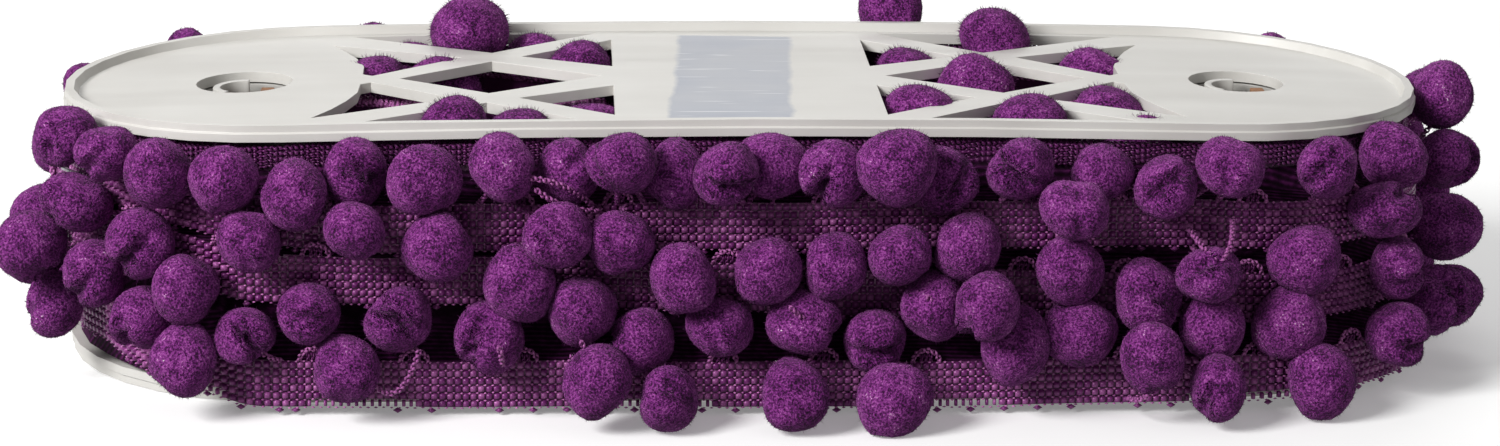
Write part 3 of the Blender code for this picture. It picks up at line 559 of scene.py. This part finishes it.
def slopeOf(surface, directions):
    # how fast a lumpy ball's size changes to each side of a direction
    step = 0.03
    first = unit(np.cross(directions, np.array([0.31, 0.52, 0.79])))
    second = np.cross(directions, first)
    here = surface(directions)
    slope = 0.0
    for aside in (first, second):
        there = surface(unit(directions + aside * step))
        slope = slope + aside * ((there - here) / step / here)[:, None]
    return slope


# the CAD's balls have twenty sides, and the other two values are for a ball of radius 1
solidBall = {"radius": 6.1, "edge": 1.05146, "faceReach": 0.79465}


def ballCentres(node):
    # the middles of a CAD node's pompoms, from the whole faces of their twenty-sided balls
    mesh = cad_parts[node].data
    mesh.calc_loop_triangles()
    points = np.empty(len(mesh.vertices) * 3)
    mesh.vertices.foreach_get("co", points)
    points = points.reshape(-1, 3) / mm
    corners = np.empty(len(mesh.loop_triangles) * 3, dtype=int)
    mesh.loop_triangles.foreach_get("vertices", corners)
    triangles = points[corners.reshape(-1, 3)]
    sides = np.linalg.norm(triangles - np.roll(triangles, 1, axis=1), axis=2)
    whole = triangles[np.abs(sides - solidBall["radius"] * solidBall["edge"]).max(axis=1) < 0.03]
    normals = unit(np.cross(whole[:, 1] - whole[:, 0], whole[:, 2] - whole[:, 0]))
    guesses = whole.mean(axis=1) - normals * solidBall["radius"] * solidBall["faceReach"]
    centres = []
    for guess in guesses:
        for group in centres:
            if np.linalg.norm(group[0] - guess) < 1.0:
                group.append(guess)
                break
        else:
            centres.append([guess])
    return np.array([np.mean(group, axis=0) for group in centres if len(group) >= 4]).reshape(-1, 3)


def randomTurn(rng):
    return np.array(Matrix.Rotation(rng.uniform(0, math.tau), 3, Vector(unit(rng.normal(size=3)))))


def makePompoms(name, centres, masters, seed, material, size=(1.0, 1.0, 1.0)):
    # every pompom of one stretch of trim, each turned and stretched its own way
    rng = np.random.default_rng(seed)
    points, faces, shades, normals, count = [], [], [], [], 0
    for centre in centres:
        master = masters[rng.integers(len(masters))]
        turn = randomTurn(rng)
        if rng.random() < pompom["cleftsOutside"]:
            # a cleft or dimple turned to the outside, where it shows
            outward = reelFrame(wayRound(centre))[2] + rng.normal(size=3) * 0.35
            aim = Vector(turn @ master["cleft"]).rotation_difference(Vector(outward))
            turn = np.array(aim.to_matrix()) @ turn
        stretch = np.diag(rng.uniform(0.93, 1.08, 3) * size) @ turn * rng.uniform(0.94, 1.04)
        placed = master["points"] @ stretch.T + centre
        placed[:, 2] = np.maximum(placed[:, 2], 0.15)
        points.append(placed)
        normals.append(unit(master["normals"] @ turn.T))
        shades.append(master["shades"] + rng.normal(0, 0.02))
        faces.append(master["faces"] + count)
        count += len(placed)
    piece = makePiece(name, np.concatenate(points), np.concatenate(faces), material)
    mesh = piece.data
    mesh.attributes.new("pilePaintedLightAndTone", "FLOAT", "POINT").data.foreach_set("value", np.concatenate(shades))
    mesh.normals_split_custom_set_from_vertices(np.concatenate(normals))
    return piece


# The woven tape

tape = {
    "width": 9.2, "rows": 6, "cell": 1.5, "wave": 0.35, "scallopPitch": 19.5, "scallopReach": 2.6,
    "scallopRise": 2.4, "picotPitch": 6.5, "slackLength": 9.0, "slackFrom": 0.4,
}
# Where each outer turn lies. Columns: along the way round, height of its middle, reach
turnPlaces = {
    "low": [
        (-75, 14.0, 47.0), (-45, 13.0, 48.0), (-22, 9.5, 51.5), (-4, 6.2, 55.5), (41, 6.1, 56.0),
        (118, 5.9, 56.5), (186, 6.8, 56.5), (215, 6.6, 54.0), (254, 8.5, 48.6), (300, 8.8, 49.5),
        (330, 9.0, 51.5), (420, 7.0, 54.0), (509, 8.0, 53.0),
    ],
    "middle": [
        (-75, 30.0, 50.0), (-37, 32.0, 51.0), (-20, 29.5, 52.0), (-5, 26.5, 53.0), (17, 26.0, 53.0),
        (45, 25.8, 53.0), (76, 24.5, 52.5), (118, 23.0, 52.5), (165, 22.5, 52.0), (205, 21.0, 51.0),
        (254, 22.0, 48.2), (300, 23.0, 49.0), (330, 24.0, 51.0), (420, 22.0, 52.0), (509, 24.0, 51.0),
    ],
    "upper": [
        (-75, 41.0, 49.0), (-37, 42.0, 50.0), (-20, 40.0, 51.0), (-5, 37.5, 52.0), (17, 35.8, 52.0),
        (45, 36.2, 52.0), (94, 36.4, 52.0), (130, 36.6, 52.0), (172, 36.8, 52.0), (205, 35.4, 51.0),
        (254, 35.0, 48.2), (300, 36.2, 49.0), (330, 37.5, 51.0), (420, 35.0, 52.0), (509, 38.0, 51.0),
    ],
}
stretches = {
    "front": (0.0, straight),
    "right_front": (straight, straight + endArc / 2),
    "right_back": (straight + endArc / 2, straight + endArc),
    "back": (straight + endArc, 2 * straight + endArc),
    "left_back": (2 * straight + endArc, 2 * straight + 1.5 * endArc),
    "left_front": (2 * straight + 1.5 * endArc, roundTrip),
}


def turnAt(turn, along):
    rows = np.array(turnPlaces[turn], float)
    starts = np.append(rows[:, 0], rows[0, 0] + roundTrip)
    place = np.mod(np.asarray(along, float) - starts[0], roundTrip) + starts[0]
    index = np.clip(np.searchsorted(starts, place, side="right") - 1, 0, len(rows) - 1)
    after = (index + 1) % len(rows)
    share = (place - starts[index]) / (starts[index + 1] - starts[index])
    share = share * share * (3 - 2 * share)
    height = rows[index, 1] + (rows[after, 1] - rows[index, 1]) * share
    reach = rows[index, 2] + (rows[after, 2] - rows[index, 2]) * share
    return height, reach


def tapePoint(turn, along, across, out=0.0):
    # across runs from -0.5 at the tape's foot to 0.5 at its head
    height, reach = turnAt(turn, along)
    phase = {"low": 0.0, "middle": 2.0, "upper": 4.0}[turn]
    wave = tape["wave"] * np.sin(np.asarray(along) / 7.3 + phase) * (1 + across)
    return reelPoints(along, reach - 0.5 + wave * 0.6 + out, height + across * tape["width"] + wave * 0.5)


def slackAt(along):
    # where the lowest row of the low turn is slack, and shows what lies behind it
    return np.sin(along / tape["slackLength"]) > tape["slackFrom"]


def makeTape(turn, stretch, material):
    # the tape's woven cells, its scalloped head and the small picots at its foot
    start, end = stretches[stretch]
    yarns = Yarns()
    rng = np.random.default_rng(len(turn) * 31 + len(stretch))
    cells = int(round((end - start) / tape["cell"]))
    along = start + (np.arange(cells) + 0.5) * (end - start) / cells
    rows = tape["rows"]
    for row in range(rows + 1):
        across = row / rows - 0.5
        way, up, out = reelFrame(along)
        jitter = rng.normal(0, 0.05, (cells, 1))
        centres = tapePoint(turn, along, across, 0.3) + up * jitter
        sizes = [rng.uniform(0.36, 0.47, cells), rng.uniform(0.18, 0.25, cells), np.full(cells, 0.4)]
        sizes = np.stack(sizes, axis=-1)
        # painted highlight: the knots between the rows take the paler yarn tones
        yarns.beads(centres, way, up, out, sizes, rng.uniform(0.6, 1.05, cells))
    # a thin sheet behind the cells, in the darkest yarn tone as painted shade, closes the cloth, but for where
    # it is slack
    levels = np.linspace(-0.5, 0.5, rows + 1)
    edges = start + np.arange(cells + 1) * (end - start) / cells
    paintedShadeWeb = tapePoint(turn, *np.meshgrid(edges, levels, indexing="ij"), -0.3).reshape(-1, 3)
    corner = (np.arange(cells)[:, None] * (rows + 1) + np.arange(rows)).reshape(-1)
    if turn == "low":
        closed = (np.arange(len(corner)) % rows > 0) | ~slackAt(np.repeat(edges[:-1], rows))
        corner = corner[closed]
    after = corner + rows + 1
    first = np.stack([corner, after, after + 1], axis=-1)
    second = np.stack([corner, after + 1, corner + 1], axis=-1)
    yarns.add(paintedShadeWeb, np.concatenate([first, second]), 0.0)
    for row in range(rows):
        across = (row + 0.5) / rows - 0.5
        places = along + tape["cell"] / 2
        way, up, out = reelFrame(places)
        centres = tapePoint(turn, places, across) + way * rng.normal(0, 0.04, (cells, 1))
        slack = (turn == "low") & (row == 0) & slackAt(places)
        wide = np.where(slack, 0.34, 0.68) * rng.uniform(0.95, 1.04, cells)
        sizes = np.stack([wide, np.full(cells, 0.63), np.full(cells, 0.5)], axis=-1)
        yarns.bricks(centres, way, up, out, sizes, rng.uniform(0.4, 0.66, cells))
    scallops = np.arange(start + 6.0, end - 3.0, tape["scallopPitch"])
    for place in scallops + rng.uniform(-0.8, 0.8, len(scallops)):
        angles = np.linspace(0, math.pi, 12)
        spread = -np.cos(angles) * tape["scallopReach"]
        rise = np.sin(angles) * tape["scallopRise"] / tape["width"]
        yarns.rope(tapePoint(turn, place + spread, 0.5 + rise, 0.2), 1.15, 2.4, 0.75, 0.75)
        for step in (-0.9, 0.0, 0.9):
            foot = tapePoint(turn, np.array([place + step] * 2), np.array([0.5, 0.5 + 0.16]), 0.0)
            yarns.rope(foot, 0.8, 2.0, 0.8, 0.35)
    for place in np.arange(start + 2.0, end - 1.0, tape["picotPitch"]) + rng.uniform(-1.2, 1.2):
        if rng.random() < 0.75:
            centre = tapePoint(turn, np.array([place]), -0.56, 0.1)
            way, up, out = reelFrame(np.array([place]))
            yarns.beads(centre, way, up, out, (0.95, 0.6, 0.6), 0.5)
    return yarns.mesh("braid_" + turn + "_" + stretch, material)


# Cords that lie outside the pompoms and show. Each row: start, bend and end, as along, height and reach
looseCords = [
    ((47, 48, 60), (54, 48, 62), (59, 41, 54)), ((48, 46, 60), (53, 42, 62), (60, 40, 54)),
    ((176.6, 33.2, 66), (174.5, 35, 67), (172.5, 37.5, 54)),
    ((177.6, 33.2, 66), (180, 35.5, 67), (181.5, 38, 54)),
    ((17, 9, 63), (22, 2.5, 64), (26, 15, 62)), ((56.5, 18, 66), (58, 14, 67), (61, 9.5, 58)),
    ((55, 15, 66), (54, 12, 66), (54, 9.5, 58)), ((41, 17, 66), (42, 14, 67), (41.5, 9.5, 58)),
    ((165, 9, 68), (163.5, 5, 68), (162, 4, 59)), ((122, 26, 64), (125, 22, 64), (128, 20, 56)),
    ((96, 24, 64), (99, 20, 65), (103, 20, 56)),
]


def makeCords(turn, stretch, centres, material):
    # the twisted cords that hang each pompom from the tape, a pair to each
    start, end = stretches[stretch]
    yarns = Yarns()
    rng = np.random.default_rng(len(centres))
    for centre in centres:
        place = float(np.clip(wayRound(centre), start + 3.0, end - 3.0))
        height = float(turnAt(turn, place)[0])
        edge = 0.5 if centre[2] > height - 1.0 else -0.5
        out = reelFrame(np.array([place]))[2][0]
        drift = rng.uniform(-3.5, 3.5)
        for leg in (-1, 1):
            spot = np.clip(place + drift + leg * rng.uniform(1.8, 4.2), start + 0.5, end - 0.5)
            foot = tapePoint(turn, np.array([spot]), edge, 0.3)[0]
            bend = (foot + centre) / 2 + out * rng.uniform(1.8, 4.2)
            bend = bend + np.array([0, 0, rng.uniform(-0.8, 0.8)])
            share = np.linspace(0, 1, 9)[:, None]
            target = centre + (foot - centre) * 0.25
            path = (1 - share) ** 2 * foot + 2 * share * (1 - share) * bend + share ** 2 * target
            yarns.rope(path, 1.15, 2.5, 0.9, rng.uniform(0.45, 0.7))
    if turn == "middle" and stretch == "front":
        for first, bend, last in looseCords:
            ends = [reelPoints(np.array(place[0]), place[2], place[1]) for place in (first, bend, last)]
            share = np.linspace(0, 1, 12)[:, None]
            path = (1 - share) ** 2 * ends[0] + 2 * share * (1 - share) * ends[1] + share ** 2 * ends[2]
            yarns.rope(path, 1.25, 2.6, 0.8, 0.62)
    return yarns.mesh("cords_" + turn + "_" + stretch, material) if len(centres) else None


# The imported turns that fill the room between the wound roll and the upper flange

topTurns = {
    "reaches": (43.6, 44.5, 45.7), "ropes": (1, 1, 4), "ropeStep": 1.05, "foot": 46.0, "top": 48.85,
    "spacing": 1.6, "wallSetBack": 0.4,
}


def makeTopTurns(material):
    yarns = Yarns()
    rng = np.random.default_rng(11)
    along = np.linspace(0.0, roundTrip, int(roundTrip / topTurns["spacing"]))
    for reach, ropes in zip(topTurns["reaches"], topTurns["ropes"]):
        shifts = 0.35 * np.sin(along / 6.1 + reach) + rng.normal(0, 0.05, len(along))
        bow = lift(reelPoints(along, reach, 0.0)[:, 0])
        top = topTurns["top"] + bow + 0.3 * np.sin(along / 9.7 + reach)
        path = reelPoints(along, reach + shifts, top)
        # painted shade: these ropes are coloured darker than the yarn, each lower one darker still
        for rope in range(ropes):
            lower = np.array([0, 0, rope * topTurns["ropeStep"]])
            yarns.rope(path - lower, 1.2, 2.4, 1.0, 0.28 - 0.05 * rope)
        # a wall closes each turn behind its ropes, in the darkest yarn tone as painted shade
        wall = reach + shifts - topTurns["wallSetBack"]
        rims = np.concatenate([reelPoints(along, wall, topTurns["foot"]), reelPoints(along, wall, top)])
        count = len(along)
        a = np.arange(count - 1)
        faces = [np.stack([a, a + 1, a + 1 + count], axis=-1), np.stack([a, a + 1 + count, a + count], axis=-1)]
        yarns.add(rims, np.concatenate(faces), -0.3)
    return yarns.mesh("topTurns", material)


# The inner turns under the windows

inner = {"from": 28.0, "to": 80.0, "top": 49.9, "foot": 37.8, "wave": 1.2}
innerRows = {"front": (-22.0, (-0.35, 0.45)), "centre": (-2.0, (-3.1, -1.9, -0.6, 0.7, 2.0, 3.2)),
             "back": (22.0, (-0.4, 0.5))}


def makeInner(row, side, material):
    # tape on edge: a thin wall with a chain of yarn along its top
    middle, shifts = innerRows[row]
    yarns = Yarns()
    rng = np.random.default_rng(7 if side > 0 else 3)
    x = np.linspace(inner["from"], inner["to"], 70)
    for shift in shifts:
        step = (x - inner["from"]) / (inner["to"] - inner["from"]) * 10
        y = middle + shift + inner["wave"] * np.sin(0.9 * step + middle) + 0.25 * np.sin(x * 0.55 + shift * 3)
        top = inner["top"] - 0.6 + 0.35 * np.sin(x * 0.31 + shift * 5)
        path = np.stack([side * x, y, top], axis=-1)
        # painted highlight: the chains take pale yarn tones so they stand out of the windows' shade
        yarns.rope(path, 1.2, 2.3, 0.8, rng.uniform(0.65, 0.95))
        upper = path - np.array([0, 0, 0.4])
        lower = path * np.array([1, 1, 0]) + np.array([0, 0, inner["foot"]])
        walls = []
        for offset in (-0.35, 0.35):
            walls.append(upper + np.array([0, offset, 0]))
            walls.append(lower + np.array([0, offset, 0]))
        points = np.concatenate(walls)
        n = len(x)
        a = np.arange(n - 1)
        faces = []
        for top0, foot0, flip in ((0, n, side > 0), (2 * n, 3 * n, side < 0)):
            one = np.stack([top0 + a, foot0 + a, foot0 + a + 1], axis=-1)
            two = np.stack([top0 + a, foot0 + a + 1, top0 + a + 1], axis=-1)
            both = np.concatenate([one, two])
            faces.append(both if flip else both[:, ::-1])
        # painted shade: the walls take a dark yarn tone
        yarns.add(points, np.concatenate(faces), 0.15)
    return yarns.mesh("edges_" + row + ("_left" if side < 0 else "_right"), material)


# The scene

camera = {
    "place": (-0.0351, -0.7253, 0.2140), "forward": (0.0489, 0.9660, -0.2538),
    "right": (0.9987, -0.0506, 0.0), "roll": 0.0102, "lens": 87.355,
}
lights = {
    "key": {"place": (-0.95, -0.82, 0.82), "size": 0.55, "power": 26.0},
    "fill": {"place": (0.9, -0.9, 0.5), "size": 1.0, "power": 0.8},
    "back": {"place": (0.1, 1.0, 0.9), "size": 1.0, "power": 6.5},
}
studio = {"sky": 0.24, "paper": "#F6F6F5", "paperGlow": 0.22}


def makeCamera():
    forward = Vector(camera["forward"]).normalized()
    right = Vector(camera["right"]).normalized()
    up = right.cross(forward).normalized()
    roll = camera["roll"]
    right, up = right * math.cos(roll) + up * math.sin(roll), up * math.cos(roll) - right * math.sin(roll)
    data = bpy.data.cameras.new("photoCamera")
    data.lens = camera["lens"]
    data.sensor_width = 36.0
    data.sensor_fit = "HORIZONTAL"
    data.clip_start = 0.01
    eye = bpy.data.objects.new("photoCamera", data)
    turn = Matrix((right, up, -forward)).transposed().to_4x4()
    eye.matrix_world = Matrix.Translation(camera["place"]) @ turn
    bpy.context.scene.collection.objects.link(eye)
    bpy.context.scene.camera = eye


def makeStage():
    for name, light in lights.items():
        data = bpy.data.lights.new(name, "AREA")
        data.energy = light["power"]
        data.size = light["size"]
        lamp = bpy.data.objects.new(name, data)
        place = Vector(light["place"])
        lamp.location = place
        lamp.rotation_euler = (Vector((0, 0, 0.03)) - place).to_track_quat("-Z", "Y").to_euler()
        bpy.context.scene.collection.objects.link(lamp)
    world = bpy.data.worlds.new("softStudio")
    world.use_nodes = True
    world.node_tree.nodes["Background"].inputs["Color"].default_value = linear("#FFFFFF")
    world.node_tree.nodes["Background"].inputs["Strength"].default_value = studio["sky"]
    bpy.context.scene.world = world
    bpy.context.scene.view_settings.view_transform = "Standard"  # the photo's plain tones
    bpy.ops.object.select_all(action="DESELECT")
    bpy.ops.mesh.primitive_plane_add(size=12.0, location=(0, 0, -0.0002))
    floor = bpy.context.object
    floor.name = "floor"
    paper, shader = newMaterial("whitePaperFloor")
    shader.inputs["Base Color"].default_value = linear(studio["paper"])
    shader.inputs["Roughness"].default_value = 0.9
    shader.inputs["Emission Color"].default_value = linear("#FFFFFF")
    shader.inputs["Emission Strength"].default_value = studio["paperGlow"]
    floor.data.materials.append(paper)
    floor.visible_diffuse = False  # keeps the white floor from lighting the gaps from below
    floor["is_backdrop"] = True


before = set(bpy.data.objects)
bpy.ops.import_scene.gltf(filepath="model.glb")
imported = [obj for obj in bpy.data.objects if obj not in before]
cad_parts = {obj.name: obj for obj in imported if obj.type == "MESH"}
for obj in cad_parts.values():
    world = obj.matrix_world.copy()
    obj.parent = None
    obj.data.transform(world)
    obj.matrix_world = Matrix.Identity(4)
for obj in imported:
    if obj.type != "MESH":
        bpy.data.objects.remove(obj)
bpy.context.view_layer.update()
print("frame loaded")
bpy.ops.object.select_all(action="DESELECT")

plateMaterial = mouldedPolystyrene("mouldedPolystyreneWithLabelResidue", True)
hubMaterial = mouldedPolystyrene("mouldedPolystyrene", False)
hubMaterialWithPaintedShade = mouldedPolystyrene("mouldedPolystyreneWithPaintedHubShade", False, True)
pileMaterial = cutPile("cutAcrylicPile")
braidMaterial = rayonBraid("viscoseBraid")
woundMaterial = woundBraid("woundViscoseBraidInPaintedShade")
boardMaterial = kraftBoard("kraftBoard")
wireMaterial = stapleWire("zincPlatedStaple")

for name, node, material, edge in (
    ("upperFlange", "flange_top", plateMaterial, 0.28), ("lowerFlange", "flange_bottom", hubMaterial, 0.28),
    ("leftHub", "hub_left", hubMaterialWithPaintedShade, 0.2), ("rightHub", "hub_right", hubMaterialWithPaintedShade, 0.2),
    ("leftBlock", "peg_left", boardMaterial, 0.15), ("rightBlock", "peg_right", boardMaterial, 0.15),
    ("stapleWire", "staple", wireMaterial, 0.18), ("woundTurns", "wound_roll", woundMaterial, 0.0),
):
    mouldedCopy(name, node, material, edge)
print("reel, blocks, staple and wound turns done")

masters = [makeMaster(seed, pompom["stray"], pompom["strayLength"]) for seed in range(pompom["masters"])]
fuzzyMasters = [
    makeMaster(seed + 20, pompom["windowStray"], pompom["windowStrayLength"])
    for seed in range(pompom["windowMasters"])
]
print("pompom masters done")


def finishPiece(piece, node):
    if piece is None:
        return
    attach(piece, "root")
    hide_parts(node)


finishPiece(makeTopTurns(braidMaterial), "wound_roll")
for side, word in ((-1, "left"), (1, "right")):
    tongue = makeHubTongue(word + "HubTongue", side, hubMaterialWithPaintedShade)
    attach(tongue, "root")
    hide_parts("hub_" + word)
total = 0
for turn in turnPlaces:
    for index, stretch in enumerate(stretches):
        node = "tape_" + turn + "_" + stretch
        centres = ballCentres(node)
        total += len(centres)
        finishPiece(makeTape(turn, stretch, braidMaterial), node)
        finishPiece(makeCords(turn, stretch, centres, braidMaterial), node)
        if len(centres):
            seed = index * 7 + len(turn)
            name = "pompoms_" + turn + "_" + stretch
            finishPiece(makePompoms(name, centres, masters, seed, pileMaterial), node)
print("outer turns done, pompoms:", total)

for row in innerRows:
    for side, word in ((-1, "left"), (1, "right")):
        node = "inner_" + row + "_" + word
        centres = ballCentres(node)
        total += len(centres)
        finishPiece(makeInner(row, side, braidMaterial), node)
        if len(centres):
            seed = 50 + int(side > 0)
            name = "pompoms_inner_" + row + "_" + word
            # these bulge up into the windows
            raised = centres + np.array([0, 0, pompom["windowLift"]])
            size = pompom["windowSize"]
            finishPiece(makePompoms(name, raised, fuzzyMasters, seed, pileMaterial, size), node)
print("inner turns done, pompoms in all:", total)

makeCamera()
makeStage()
print("camera, lights and floor done")

triangles = sum(len(piece.data.polygons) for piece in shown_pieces() if piece.type == "MESH")
print("faces in all:", triangles)
